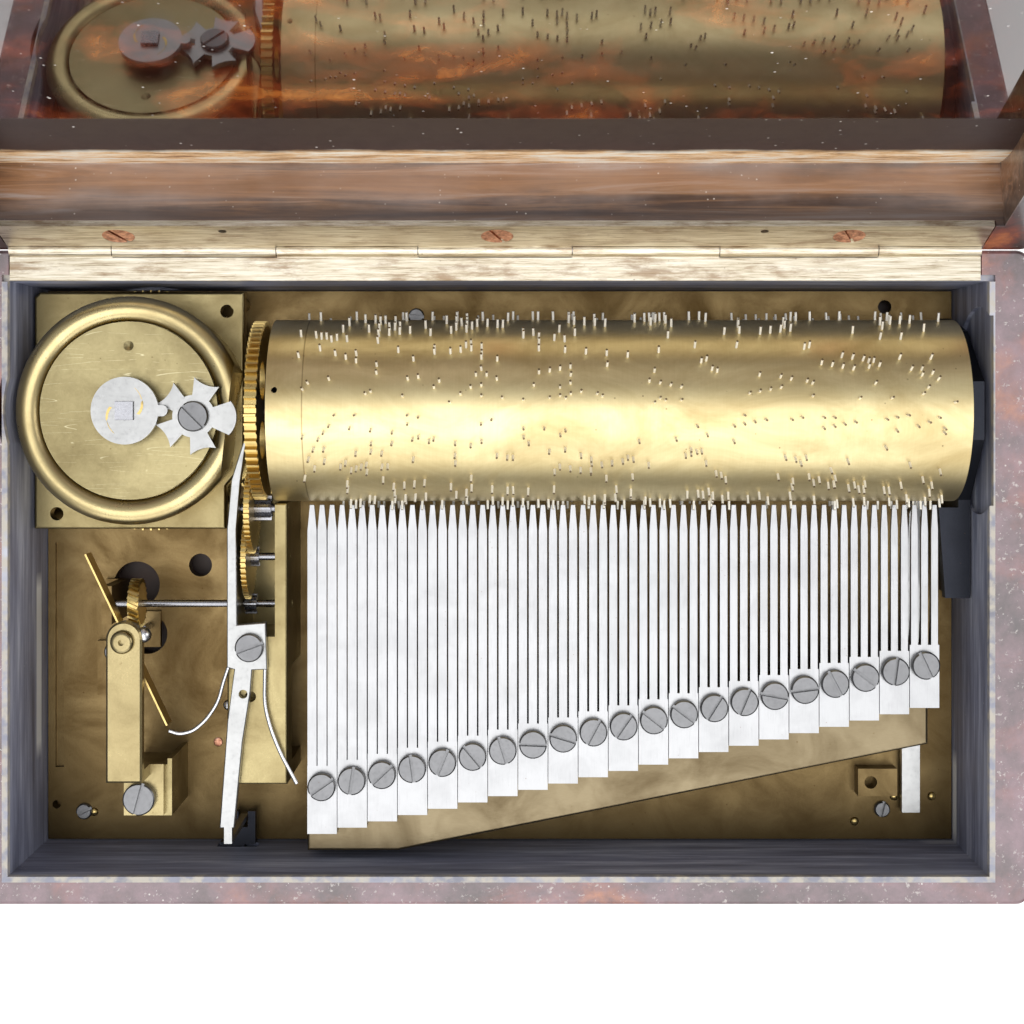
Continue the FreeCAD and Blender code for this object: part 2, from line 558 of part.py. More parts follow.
# ---- cylinder -----------------------------------------------------------------------------------
def cylinder_parts():
    tube = rod_x(CYL_Y, CYL_Z, CYL_X0, CYL_X1, CYL_R).cut(
        rod_x(CYL_Y, CYL_Z, CYL_X0 - 1, CYL_X1 + 1, CYL_R - TUBE_T))
    mark = rod_z(CYL_X0 + 0.75, CYL_Y + 1.8, CYL_Z, 30, 0.27)
    keep("cylinder_tube", tube.cut(mark))
    inner = CYL_R - TUBE_T
    left = rod_x(CYL_Y, CYL_Z, CYL_X0 + 3.2, CYL_X0 + 4.4, inner)
    right = rod_x(CYL_Y, CYL_Z, CYL_X1 - 1.2, CYL_X1 - 0.1, inner)
    bore = rod_x(CYL_Y, CYL_Z, -50, 50, ARBOR_R + 0.04)
    keep("cylinder_ends", Part.makeCompound([left.cut(bore), right.cut(bore)]))
    cement = rod_x(CYL_Y, CYL_Z, CYL_X0 + 4.4, CYL_X1 - 1.2, inner)
    keep("cylinder_cement", cement.cut(rod_x(CYL_Y, CYL_Z, -50, 50, inner - 2.4)))

    shaft = fuse_all([rod_x(CYL_Y, CYL_Z, GREAT_X0 - 0.05, GREAT_X1 + 0.1, 1.5),
                      rod_x(CYL_Y, CYL_Z, GREAT_X1 + 0.1, CYL_X1 + 0.85, ARBOR_R),
                      rod_x(CYL_Y, CYL_Z, CYL_X1 + 0.85, 43.3, 0.7)])
    keep("cylinder_arbor", shaft)
    wheel = gear(GREAT_TEETH, GREAT_TIP, GREAT_ROOT, GREAT_X1 - GREAT_X0, gap_at(0, GREAT_TEETH),
                 top=0.24, base=0.46, bore=1.5)
    spokes = []
    for i in range(5):
        a = math.radians(72 * i)
        spokes.append(rod_z(4.5 * math.cos(a), 4.5 * math.sin(a), -1, 3, 1.7))
    keep("great_wheel", along_x(cut_all(wheel, spokes), GREAT_X0, CYL_Y, CYL_Z))

    # left cock: a thin upright in the gap, with a bearing boss inside the cylinder's recessed end
    upright = side_prism([(CYL_Y - 3.4, BED), (CYL_Y + 3.4, BED), (CYL_Y + 2.2, CYL_Z + 1.4),
                          (CYL_Y + 1.2, CYL_Z + 2.4), (CYL_Y - 1.2, CYL_Z + 2.4), (CYL_Y - 2.2, CYL_Z + 1.4)],
                         GREAT_X1 + 0.2, CYL_X0 - 0.15)
    boss = rod_x(CYL_Y, CYL_Z, CYL_X0 - 0.2, CYL_X0 + 2.9, 2.2)
    foot = box(GREAT_X1 + 0.2, CYL_X0 + 2.2, CYL_Y - 3.4, CYL_Y + 3.4, BED, BED + 0.7)
    hole = rod_x(CYL_Y, CYL_Z, -50, 50, ARBOR_R + 0.05)
    keep("cylinder_cock_left", fuse_all([upright, boss, foot]).cut(hole))

    bridge = side_prism([(-3.0, BED), (23.0, BED), (21.5, 12.0), (CYL_Y + 2.6, 18.0), (CYL_Y - 2.6, 18.0),
                         (6.0, 13.0), (-3.0, 13.0)], 42.1, 43.2)
    flange = prism([(40.9, -3.0), (42.2, -3.0), (42.2, 5.3), (40.3, 5.3)], 11.8, 13.0)
    bearing = rod_x(CYL_Y, CYL_Z, 40, 45, 0.75)
    keep("cylinder_bridge_right", fuse_all([bridge, flange]).cut(bearing))


# ---- train --------------------------------------------------------------------------------------
def train_parts():
    block = box(TRAIN_X0, TRAIN_X1, -19.5, 5.85, BED, TRAIN_TOP)
    top = [e for e in block.Edges if abs(e.CenterOfMass.z - TRAIN_TOP) < 1e-6]
    block = block.makeFillet(0.2, top)
    slot = box(SLOT_X0, SLOT_X1, -6.2, 9, BED + 0.8, TRAIN_TOP + 1)
    waist = box(TRAIN_X0 - 1, TRAIN_X1 + 1, -18.0, -9.2, BED - 1, 12.2)
    pivots = [rod_x(Y1, Z1, -30, -10, 0.25), rod_x(Y2, Z2, -30, -10, 0.25), rod_x(Y3, Z3, -30, -10, 0.37),
              rod_z(LEVER_X, LEVER_Y, 9, 20, 0.6), rod_z(LEVER_X - 0.1, LEVER_Y - 4.6, 13, 20, 0.5)]
    keep("train_block", cut_all(block, [slot, waist] + pivots))

    # first arbor: an 8-leaf pinion in mesh with the great wheel, and its wheel
    pinion = along_x(gear(P1_TEETH, 1.1, 0.62, 1.5, 90, top=0.2, base=0.36), -22.1, Y1, Z1)
    staff = fuse_all([rod_x(Y1, Z1, -24.4, -19.2, 0.22), rod_x(Y1, Z1, -23.4, -20.3, 0.4), pinion])
    keep("first_pinion", staff)
    a_gap = gap_at(aim(Y2 - Y1, Z2 - Z1), A_TEETH)
    wheel = gear(A_TEETH, 4.12, 3.8, 0.5, a_gap, top=0.22, base=0.44, bore=0.4)
    keep("first_wheel", along_x(wheel, -22.62, Y1, Z1))

    tooth = aim(Y1 - Y2, Z1 - Z2)
    pinion = along_x(gear(P2_TEETH, 0.92, 0.6, 0.75, tooth, top=0.2, base=0.38), -22.68, Y2, Z2)
    staff = fuse_all([rod_x(Y2, Z2, -24.4, -19.2, 0.22), rod_x(Y2, Z2, -23.3, -20.3, 0.34), pinion])
    keep("second_pinion", staff)
    b_gap = gap_at(aim(Y3 - Y2, Z3 - Z2), B_TEETH)
    wheel = gear(B_TEETH, 3.88, 3.57, 0.45, b_gap, top=0.22, base=0.44, bore=0.34)
    keep("second_wheel", along_x(wheel, -23.14, Y2, Z2))

    tooth = aim(Y2 - Y3, Z2 - Z3)
    pinion = along_x(gear(P3_TEETH, 0.95, 0.62, 1.1, tooth, top=0.2, base=0.38), -23.4, Y3, Z3)
    staff = fuse_all([rod_x(Y3, Z3, -36.2, -19.25, 0.33), pinion])
    keep("long_arbor", staff)
    keep("worm_wheel", worm_wheel())
    support = box(-36.4, -35.5, -5.4, -1.9, BED, 13.1)
    hole = rod_x(Y3, Z3, -40, -30, 0.37)
    base = box(-37.6, -35.5, -5.4, -1.9, BED, BED + 0.8)
    keep("long_arbor_bearing", fuse_all([support, base]).cut(hole))


def worm_wheel():
    """A narrow wheel whose slanted teeth follow the worm's thread."""
    lead_angle = math.degrees(math.atan2(WORM_STARTS * WORM_PITCH, 2 * math.pi * WORM_R))
    disc = rod_x(Y3, Z3, WORM_X - 0.5, WORM_X + 0.5, 1.95)
    parts = [disc]
    for i in range(WORM_TEETH):
        tooth = prism([(-0.52, -0.12), (0.52, -0.12), (0.52, 0.12), (-0.52, 0.12)], 1.8, 2.29)
        tooth = tooth.common(box(-0.5, 0.5, -1, 1, 0, 3))
        tooth.rotate(V(0, 0, 0), V(0, 0, 1), -lead_angle)
        tooth.rotate(V(0, 0, 0), V(1, 0, 0), 90 + 360.0 * i / WORM_TEETH)
        tooth.translate(V(WORM_X, Y3, Z3))
        parts.append(tooth)
    return fuse_all(parts).cut(rod_x(Y3, Z3, -40, -30, 0.33))


def governor_parts():
    lead = WORM_STARTS * WORM_PITCH
    z0 = Z3 - 1.35
    height = 2.7
    threads = []
    for k in range(WORM_STARTS):
        helix = Part.makeHelix(lead, height, WORM_R)
        r0 = 0.36
        r1 = 0.76
        profile = Part.Wire(Part.makePolygon([V(r0, 0, -0.15), V(r1, 0, -0.06), V(r1, 0, 0.06), V(r0, 0, 0.15),
                                              V(r0, 0, -0.15)]))
        thread = Part.Wire(helix.Edges).makePipeShell([profile], True, True)
        # at the side that faces the wheel, a gap between threads lies level with the wheel's axis
        turn = 90.0 - 360.0 * ((Z3 + WORM_PITCH / 2 - z0) % lead) / lead + 360.0 * k / WORM_STARTS
        thread.rotate(V(0, 0, 0), V(0, 0, 1), turn)
        thread.translate(V(WORM_X, FLY_Y, z0))
        threads.append(thread)
    core = rod_z(WORM_X, FLY_Y, z0 - 0.3, z0 + height + 0.3, 0.42)
    staff = fuse_all([rod_z(WORM_X, FLY_Y, BED + 0.75, COCK_Z + 0.55, 0.2),
                      rod_z(WORM_X, FLY_Y, BED + 1.3, COCK_Z - 0.3, 0.33), core] + threads)
    keep("worm_screw", staff)

    direction = math.radians(FLY_ANGLE)
    hub = rod_z(WORM_X, FLY_Y, WING_Z0, WING_Z1 - 0.4, 0.6)
    wings = [box(0.3, FLY_R, -0.08, 0.08, WING_Z0, WING_Z1), box(-FLY_R, -0.3, -0.08, 0.08, WING_Z0, WING_Z1)]
    for w in wings:
        w.rotate(V(0, 0, 0), V(0, 0, 1), math.degrees(direction))
        w.translate(V(WORM_X, FLY_Y, 0))
    keep("fly", fuse_all([hub] + wings).cut(rod_z(WORM_X, FLY_Y, 0, 30, 0.33)))

    base = box(-38.4, -35.0, -13.0, -7.8, BED, BED + 0.8)
    tongue = box(-35.0, -32.4, -8.4, -5.0, BED, BED + 0.75)
    keep("footstep_plate", fuse_all([base, tongue]).cut(rod_z(-36.6, -8.8, 0, 20, 0.55)))
    small = slotted_screw(-36.6, -8.8, BED + 0.8, 1.05, 0.6, 0.55, 1.6, 50)

    foot = prism([(-34.1, -22.8), (-30.3, -22.8), (-30.3, -18.1), (-31.4, -18.6), (-34.1, -18.6)], BED, 13.5)
    foot_back = box(-30.3, -29.9, -22.8, -17.6, BED, 13.5)
    keep("cock_foot", fuse_all([foot, foot_back]).cut(rod_z(-32.6, -21.0, 8, 20, 0.7)))
    arm = box(-34.9, -31.7, -18.6, FLY_Y + 0.2, COCK_Z, COCK_Z + 1.1)
    nose = rod_z(WORM_X + 0.1, FLY_Y + 0.2, COCK_Z, COCK_Z + 1.1, 1.6)
    cock = fuse_all([box(-34.9, -31.7, -18.9, -17.9, 13.5, COCK_Z + 1.1), arm, nose])
    rim = [e for e in cock.Edges if abs(e.CenterOfMass.z - COCK_Z - 1.1) < 1e-6]
    cock = cock.makeChamfer(0.18, rim)
    plate = box(-34.1, -30.5, -22.6, -17.95, 13.5, 14.4)
    cock = fuse_all([cock, plate])
    keep("governor_cock", cut_all(cock, [rod_z(WORM_X, FLY_Y, 0, 30, 0.24), rod_z(-32.6, -21.0, 8, 20, 0.7)]))
    large = slotted_screw(-32.6, -21.0, 14.4, 1.45, 0.9, 0.7, 4.5, 75)
    keep("governor_screws", Part.makeCompound([small, large]))

    cap = rod_z(WORM_X, FLY_Y, COCK_Z + 1.1, COCK_Z + 1.75, 1.05)
    cap = cap.makeFillet(0.4, [e for e in cap.Edges if abs(e.CenterOfMass.z - COCK_Z - 1.75) < 1e-6])
    keep("endstone_cap", cap.cut(rod_z(WORM_X, FLY_Y, COCK_Z + 1.2, 30, 0.28)))


# ---- comb ---------------------------------------------------------------------------------------
def comb_layout():
    """Screw position and width of each segment."""
    pitch = (LAST_SCREW[0] - FIRST_SCREW[0]) / (SEGMENTS - 1)
    rise = (LAST_SCREW[1] - FIRST_SCREW[1]) / (SEGMENTS - 1)
    places = [(FIRST_SCREW[0] + i * pitch, FIRST_SCREW[1] + i * rise) for i in range(SEGMENTS)]
    return places, pitch


def comb_parts():
    places, pitch = comb_layout()
    tooth_pitch = pitch / TEETH_PER_SEGMENT
    segments = []
    leads = []
    screws = []
    for i, (x, y) in enumerate(places):
        share = i / (SEGMENTS - 1)
        half = pitch / 2 - SEG_GAP / 2
        tail = y - 3.9 - 0.45 * (1 - share)
        root = y + 1.8
        body = box(x - half, x + half, tail, root, COMB_TOP - COMB_T, COMB_TOP)
        solid = [body]
        width = 0.82 - 0.22 * share
        for k in range(TEETH_PER_SEGMENT):
            tx = x + (k - 1) * tooth_pitch
            side = [(root - 0.01, COMB_TOP - 1.1), (root + 2.5, COMB_TOP - 0.7), (TIP_Y, COMB_TOP - 0.42),
                    (TIP_Y, COMB_TOP), (root - 0.01, COMB_TOP)]
            blade = side_prism(side, tx - width / 2, tx + width / 2)
            point = prism([(tx - width / 2, TIP_Y - 2.3), (tx - 0.17, TIP_Y + 0.2), (tx - 1, TIP_Y + 0.2),
                           (tx - 1, TIP_Y - 2.3)], COMB_TOP - 2, COMB_TOP + 1)
            other = prism([(tx + width / 2, TIP_Y - 2.3), (tx + 0.17, TIP_Y + 0.2), (tx + 1, TIP_Y + 0.2),
                           (tx + 1, TIP_Y - 2.3)], COMB_TOP - 2, COMB_TOP + 1)
            solid.append(blade.cut(point).cut(other))
            if i < LEAD_SEGMENTS:
                drop = 1.5 - 0.1 * i
                leads.append(box(tx - 0.3, tx + 0.3, TIP_Y - 4.6 + 0.15 * i, TIP_Y - 2.4,
                                 COMB_TOP - 0.75 - drop, COMB_TOP - 0.62))
        segment = fuse_all(solid).cut(rod_z(x, y, 0, 30, 0.62))
        segments.append(segment)
        screws.append(slotted_screw(x, y, COMB_TOP, 1.26, 0.75, 0.6, 4.5, (47 * i * i + 35) % 180))
    keep("comb_screws", Part.makeCompound(screws))
    teeth = Part.makeCompound(segments)
    keep("comb_segments", teeth)
    keep("tuning_leads", Part.makeCompound([w.cut(teeth) for w in leads]))

    slope = (LAST_SCREW[1] - FIRST_SCREW[1]) / (LAST_SCREW[0] - FIRST_SCREW[0])
    x0 = FIRST_SCREW[0] - pitch / 2 - 0.2
    x1 = LAST_SCREW[0] + pitch / 2 - 0.6

    def line(x, offset):
        return FIRST_SCREW[1] + (x - FIRST_SCREW[0]) * slope + offset

    wall = IN_FRONT + 0.9
    meet = FIRST_SCREW[0] + (wall - FIRST_SCREW[1] + 7.7) / slope
    outline = [(x0, line(x0, 1.3)), (x0, wall), (meet, wall), (x1, line(x1, -7.7)), (x1, line(x1, 1.3))]
    base = prism(outline, BED, COMB_TOP - COMB_T)
    base = base.makeFillet(0.25, [e for e in base.Edges if abs(e.CenterOfMass.z - COMB_TOP + COMB_T) < 1e-6])
    relief = prism([(x0 - 1, line(x0 - 1, 3)), (x1 + 1, line(x1 + 1, 3)), (x1 + 1, line(x1 + 1, -2.2)),
                    (x0 - 1, line(x0 - 1, -2.2))], BED + 3.5, COMB_TOP - COMB_T - 2.4)
    shafts = [rod_z(x, y, COMB_TOP - 5, COMB_TOP, 0.6) for x, y in places]
    lever_way = box(37.75, CASE_X, -20.0, -4.0, BED - 1, BED + 2.9)
    keep("comb_base", cut_all(base, [relief, lever_way] + shafts))


# ---- levers -------------------------------------------------------------------------------------
def lever_parts():
    z = LEVER_Z
    outline = [(-24.35, LEVER_Y + 2.0), (-24.35, 3.6), (-23.95, 8.0), (-23.2, 10.4), (-22.72, 11.9),
               (-22.4, 11.9), (-22.75, 10.6), (-23.15, 7.8), (-23.5, 3.6), (-23.45, LEVER_Y + 2.0),
               (-20.9, LEVER_Y + 2.2), (-20.75, LEVER_Y - 2.0), (-22.1, LEVER_Y - 2.05), (-22.25, -11.0),
               (-22.95, -15.5), (-23.7, -23.2), (-25.0, -23.2), (-24.3, -13.6), (-23.7, -9.0),
               (-24.35, LEVER_Y - 1.8)]
    arm = prism(outline, z, z + LEVER_T)
    top = [e for e in arm.Edges if abs(e.CenterOfMass.z - z - LEVER_T) < 1e-6]
    arm = arm.makeChamfer(0.08, top)
    tail = box(-24.6, -23.9, -24.3, -22.9, z, z + LEVER_T)
    drop = box(-24.6, -23.9, -24.6, -24.1, 7.0, z + LEVER_T)
    holes = [rod_z(LEVER_X, LEVER_Y, z - 1, z + 3, 0.62), rod_z(-22.9, -11.2, z - 1, z + 3, 0.4)]
    keep("stop_lever", cut_all(fuse_all([arm, tail, drop]), holes))
    keep("stop_lever_screw", slotted_screw(LEVER_X, LEVER_Y, z + LEVER_T + 0.05, 1.27, 0.6, 0.58,
                                           z + LEVER_T + 0.05 - 11, 20))

    mid = z + 0.45
    brake = [(-24.2, -8.6, mid), (-24.75, -10.2, mid), (-25.2, -12.0, mid), (-26.3, -13.6, mid),
             (-27.5, -14.6, mid), (-28.7, -14.85, mid), (-29.6, -14.55, mid)]
    keep("fly_brake_wire", wire_tube(brake, WIRE_R))
    back = [(-21.0, -8.9, mid), (-21.05, -12.2, mid), (-20.5, -14.4, mid), (-19.6, -16.6, mid),
            (-18.9, -17.9, mid), (-18.15, -19.3, mid)]
    keep("lever_return_wire", wire_tube(back, WIRE_R))

    # start slide: a knob outside the front wall, with a fork that holds the lever's tail
    knob = rod_y(-24.25 - 1.0, 7.2, FRONT_Y - 0.9, FRONT_Y - 0.1, 1.1)
    plate = box(-27.7, -22.75, FRONT_Y - 0.35, FRONT_Y - 0.05, 6.0, 8.4)
    stem = box(-26.4, -24.1, FRONT_Y - 0.2, IN_FRONT + 0.4, 6.6, 7.8)
    fork = box(-25.4, -23.1, IN_FRONT + 0.2, -23.7, 6.6, 7.8)
    mouth = box(-24.7, -23.8, -25.2, -23.4, 6, 9)
    keep("start_slide", fuse_all([knob, plate, stem, fork]).cut(mouth))

    px, py = CHANGE_PIVOT
    bar = prism([(38.2, -24.0), (39.9, -24.0), (39.9, 4.0), (41.55, 8.6), (41.55, 10.6), (41.12, 10.6),
                 (41.12, 9.2), (38.9, 4.4), (38.2, -10.0)], BED + 0.7, BED + 1.7)
    finger = box(41.12, 41.55, 9.5, 10.6, BED + 0.7, 10.2)
    hole = rod_z(px, py, 0, 20, 0.64)
    keep("change_lever", fuse_all([bar, finger]).cut(hole))
    pivot = slotted_screw(px, py, BED + 1.75, 1.2, 0.6, 0.6, 1.75, 110)
    keep("change_lever_screw", pivot)
    block = box(34.0, 37.7, -22.4, -19.8, BED, BED + 1.9)
    keep("change_lever_stop", block.cut(rod_z(35.2, -21.1, 0, 20, 0.6)))


# ---- write --------------------------------------------------------------------------------------
def main():
    os.makedirs("parts", exist_ok=True)
    case_parts()
    hinge_parts()
    lid_parts()
    frame_parts()
    housing_parts()
    drive_parts()
    stop_work_parts()
    cylinder_parts()
    train_parts()
    governor_parts()
    comb_parts()
    lever_parts()
    for name, shape in NODES.items():
        if not shape.isValid() or not shape.Solids:
            print("check", name, shape.isValid(), len(shape.Solids))
        shape.exportStep("parts/" + name + ".step")
    print(len(NODES), "nodes")


main()
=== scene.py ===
"""Looks of the pocket musical box: light, camera, procedural finishes and the fine detail on the CAD frame.

Lengths are metres, except in materials, fittings and names that end in _MM, which are millimetres.
The camera looks straight down on the open box.
"""
import math
import random

import bmesh
import bpy
from mathutils import Matrix, Vector


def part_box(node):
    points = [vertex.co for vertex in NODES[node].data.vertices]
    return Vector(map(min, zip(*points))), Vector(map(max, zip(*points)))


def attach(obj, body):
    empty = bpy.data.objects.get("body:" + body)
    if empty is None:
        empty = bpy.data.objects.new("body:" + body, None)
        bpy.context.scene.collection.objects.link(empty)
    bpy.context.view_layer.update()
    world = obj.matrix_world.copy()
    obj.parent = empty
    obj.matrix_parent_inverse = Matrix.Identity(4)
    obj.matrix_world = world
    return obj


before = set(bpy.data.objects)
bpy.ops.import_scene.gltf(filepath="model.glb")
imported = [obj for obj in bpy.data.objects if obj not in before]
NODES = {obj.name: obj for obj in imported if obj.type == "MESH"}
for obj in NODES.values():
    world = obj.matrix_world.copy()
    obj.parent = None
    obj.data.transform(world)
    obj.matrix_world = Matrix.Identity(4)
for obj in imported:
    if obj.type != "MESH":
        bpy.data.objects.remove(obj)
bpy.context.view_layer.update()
MM = 0.001
random.seed(7)

# ---- places read from the frame -------------------------------------------------------------------
TUBE_LOW, TUBE_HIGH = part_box("cylinder_tube")
COMB_LOW, COMB_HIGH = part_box("comb_segments")
ARBOR_LOW, ARBOR_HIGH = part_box("winding_arbor")
FINGER_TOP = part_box("stop_finger")[1].z
BED_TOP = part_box("bedplate")[1].z
RIM_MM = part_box("case_shell")[1].z / MM
AXIS_Y = (TUBE_LOW.y + TUBE_HIGH.y) / 2
AXIS_Z = (TUBE_LOW.z + TUBE_HIGH.z) / 2
TUBE_R = (TUBE_HIGH.y - TUBE_LOW.y) / 2
PIN_LOW, PIN_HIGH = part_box("hinge_pin")
PIN_Y_MM = (PIN_LOW.y + PIN_HIGH.y) / 2 / MM
PIN_Z_MM = (PIN_LOW.z + PIN_HIGH.z) / 2 / MM
LID_OPEN = math.radians(108)   # the lid is stored this far open, 18 degrees back from upright
LID_COS = -math.cos(LID_OPEN)
LID_SIN = math.sin(LID_OPEN)

# ---- millimetres along the open lid from the hinge pin ----------------------------------------------
HOLLOW_START = 5.0
HOLLOW_END = 55.6
HOLLOW_DEPTH = 6.5     # behind the pin's plane
HOLLOW_HALF = 43.5     # half its length along the hinge
HIGHLIGHT_LINE_END = 9.3        # where the cream line, a painted highlight on the corner bead, gives way to the dull strip
DULL_END = 15.5        # where the dull strip gives way to the polish

# ---- camera and light -----------------------------------------------------------------------------
CAMERA_HEIGHT = 0.180
CAMERA_X = 0.00146
LENS_MM = 64.05
SHIFT_X = -0.003
SHIFT_Y = -0.1045
HORIZON_LIGHT = 0.16
ZENITH_LIGHT = 0.78


def add_camera():
    data = bpy.data.cameras.new("camera")
    data.lens = LENS_MM
    data.sensor_width = 36.0
    data.shift_x = SHIFT_X
    data.shift_y = SHIFT_Y
    data.clip_start = 0.01
    camera = bpy.data.objects.new("camera", data)
    camera.location = (CAMERA_X, AXIS_Y + 0.0005, CAMERA_HEIGHT)
    bpy.context.scene.collection.objects.link(camera)
    bpy.context.scene.camera = camera


def add_softbox(name, place, target, size, power, colour=(1, 1, 1)):
    data = bpy.data.lights.new(name, "AREA")
    data.shape = "RECTANGLE"
    data.size, data.size_y = size
    data.energy = power
    data.color = colour
    lamp = bpy.data.objects.new(name, data)
    lamp.location = place
    lamp.rotation_euler = (Vector(target) - Vector(place)).to_track_quat("-Z", "Y").to_euler()
    bpy.context.scene.collection.objects.link(lamp)


def add_light():
    add_softbox("key", (0.0, -0.15, 0.58), (0, 0.01, 0.015), (0.55, 0.50), 1.9)
    add_softbox("front", (0.0, -0.72, 0.42), (0, 0.0, 0.02), (1.1, 0.42), 2.6)
    add_softbox("right_fill", (0.75, 0.15, 0.35), (0, 0, 0.01), (0.4, 0.4), 1.2, (1.0, 0.97, 0.93))
    world = bpy.data.worlds.new("studio")
    world.use_nodes = True
    tree = world.node_tree
    place = tree.nodes.new("ShaderNodeTexCoord")
    split = tree.nodes.new("ShaderNodeSeparateXYZ")
    rise = tree.nodes.new("ShaderNodeMapRange")
    tree.links.new(place.outputs["Generated"], split.inputs["Vector"])
    tree.links.new(split.outputs["Z"], rise.inputs["Value"])
    rise.inputs["From Min"].default_value = 0.15
    rise.inputs["To Min"].default_value = HORIZON_LIGHT
    rise.inputs["To Max"].default_value = ZENITH_LIGHT
    sky = tree.nodes["Background"]
    sky.inputs["Color"].default_value = (0.95, 0.97, 1.0, 1)
    tree.links.new(rise.outputs["Result"], sky.inputs["Strength"])
    bpy.context.scene.world = world
    bpy.context.scene.view_settings.view_transform = "Standard"


def add_floor():
    bpy.ops.mesh.primitive_plane_add(size=4, location=(0, 0, -0.0001))
    floor = bpy.context.object
    floor.name = "floor"
    paint = Paint("floor_paper", colour=(0.9, 0.9, 0.9), roughness=0.9, emission_color=(1, 1, 1, 1),
                  emission_strength=0.5)
    floor.data.materials.append(paint.material)


# ---- a small helper that builds node materials ------------------------------------------------------
class Paint:
    """A Principled material with a few short ways to add procedural detail.  Scales are per millimetre."""

    def __init__(self, name, colour=(0.5, 0.5, 0.5), metallic=0.0, roughness=0.5, **sockets):
        self.material = bpy.data.materials.new(name)
        self.material.use_nodes = True
        self.tree = self.material.node_tree
        self.shader = self.tree.nodes["Principled BSDF"]
        self.set("Base Color", (*colour, 1))
        self.set("Metallic", metallic)
        self.set("Roughness", roughness)
        for socket, value in sockets.items():
            self.set(socket.replace("_", " ").title().replace("Ior", "IOR"), value)
        coords = self.node("ShaderNodeTexCoord").outputs["Object"]
        self.mm = self.mapped(coords, (1000, 1000, 1000))

    def set(self, socket, value):
        self.shader.inputs[socket].default_value = value

    def node(self, kind):
        return self.tree.nodes.new(kind)

    def link(self, source, target):
        if isinstance(source, bpy.types.NodeSocket):
            self.tree.links.new(source, target)
        elif isinstance(source, tuple) and len(source) == 3 and target.type == "RGBA":
            target.default_value = (*source, 1)
        else:
            target.default_value = source

    def mapped(self, vector, scale, turn=(0, 0, 0)):
        node = self.node("ShaderNodeMapping")
        self.link(vector, node.inputs["Vector"])
        node.inputs["Scale"].default_value = scale
        node.inputs["Rotation"].default_value = [math.radians(a) for a in turn]
        return node.outputs["Vector"]

    def noise(self, scale, stretch=(1, 1, 1), detail=4.0, rough=0.55, warp=0.0, turn=(0, 0, 0)):
        node = self.node("ShaderNodeTexNoise")
        self.link(self.mapped(self.mm, stretch, turn), node.inputs["Vector"])
        node.inputs["Scale"].default_value = scale
        node.inputs["Detail"].default_value = detail
        node.inputs["Roughness"].default_value = rough
        node.inputs["Distortion"].default_value = warp
        return node.outputs["Fac"]

    def cells(self, scale, stretch=(1, 1, 1), feature="F1"):
        node = self.node("ShaderNodeTexVoronoi")
        self.link(self.mapped(self.mm, stretch), node.inputs["Vector"])
        node.feature = feature
        node.inputs["Scale"].default_value = scale
        return node.outputs["Distance"]

    def ramp(self, fac, *stops):
        """Stops are (place, value) or (place, (r, g, b))."""
        node = self.node("ShaderNodeValToRGB")
        self.link(fac, node.inputs["Fac"])
        elements = node.color_ramp.elements
        while len(elements) < len(stops):
            elements.new(0.5)
        for element, (place, value) in zip(elements, stops):
            element.position = place
            element.color = (*value, 1) if isinstance(value, tuple) else (value, value, value, 1)
        return node.outputs["Color"]

    def maths(self, operation, a, b=0.0):
        node = self.node("ShaderNodeMath")
        node.operation = operation
        self.link(a, node.inputs[0])
        self.link(b, node.inputs[1])
        return node.outputs["Value"]

    def blend(self, fac, a, b, mode="MIX"):
        node = self.node("ShaderNodeMix")
        node.data_type = "RGBA"
        node.blend_type = mode
        self.link(fac, node.inputs["Factor"])
        self.link(a, node.inputs["A"])
        self.link(b, node.inputs["B"])
        return node.outputs["Result"]

    def between(self, fac, low, high):
        """A number that runs from low to high as fac goes from 0 to 1."""
        node = self.node("ShaderNodeMapRange")
        self.link(fac, node.inputs["Value"])
        node.inputs["To Min"].default_value = low
        node.inputs["To Max"].default_value = high
        return node.outputs["Result"]

    def axis(self, name):
        """One coordinate in millimetres."""
        node = self.node("ShaderNodeSeparateXYZ")
        self.link(self.mm, node.inputs["Vector"])
        return node.outputs[name]

    def band(self, value, low, high, soft=0.05):
        """1 where value lies between low and high, with soft edges."""
        up = self.ramped(value, low - soft, low + soft)
        down = self.ramped(value, high - soft, high + soft)
        return self.maths("SUBTRACT", up, down)

    def ramped(self, value, low, high):
        """0 at low and 1 at high; low may be the larger."""
        node = self.node("ShaderNodeMapRange")
        self.link(value, node.inputs["Value"])
        node.inputs["From Min"].default_value = low
        node.inputs["From Max"].default_value = high
        return node.outputs["Result"]

    def radius(self):
        """Distance from the cylinder's axis in millimetres."""
        y = self.maths("SUBTRACT", self.axis("Y"), AXIS_Y / MM)
        z = self.maths("SUBTRACT", self.axis("Z"), AXIS_Z / MM)
        squares = self.maths("ADD", self.maths("MULTIPLY", y, y), self.maths("MULTIPLY", z, z))
        return self.maths("SQRT", squares)

    def round_normal(self, mask):
        """The true normal of a barrel about the cylinder's axis where mask is 1, else the mesh's own."""
        radial = self.node("ShaderNodeCombineXYZ")
        self.link(self.maths("SUBTRACT", self.axis("Y"), AXIS_Y / MM), radial.inputs["Y"])
        self.link(self.maths("SUBTRACT", self.axis("Z"), AXIS_Z / MM), radial.inputs["Z"])
        world = self.node("ShaderNodeVectorTransform")
        world.vector_type = "NORMAL"
        world.convert_from = "OBJECT"
        world.convert_to = "WORLD"
        self.link(radial.outputs["Vector"], world.inputs["Vector"])
        mixed = self.node("ShaderNodeMix")
        mixed.data_type = "VECTOR"
        self.link(mask, mixed.inputs["Factor"])
        self.link(self.node("ShaderNodeNewGeometry").outputs["Normal"], mixed.inputs[4])
        unit = self.node("ShaderNodeVectorMath")
        unit.operation = "NORMALIZE"
        self.link(world.outputs["Vector"], unit.inputs[0])
        self.link(unit.outputs["Vector"], mixed.inputs[5])
        return mixed.outputs[1]

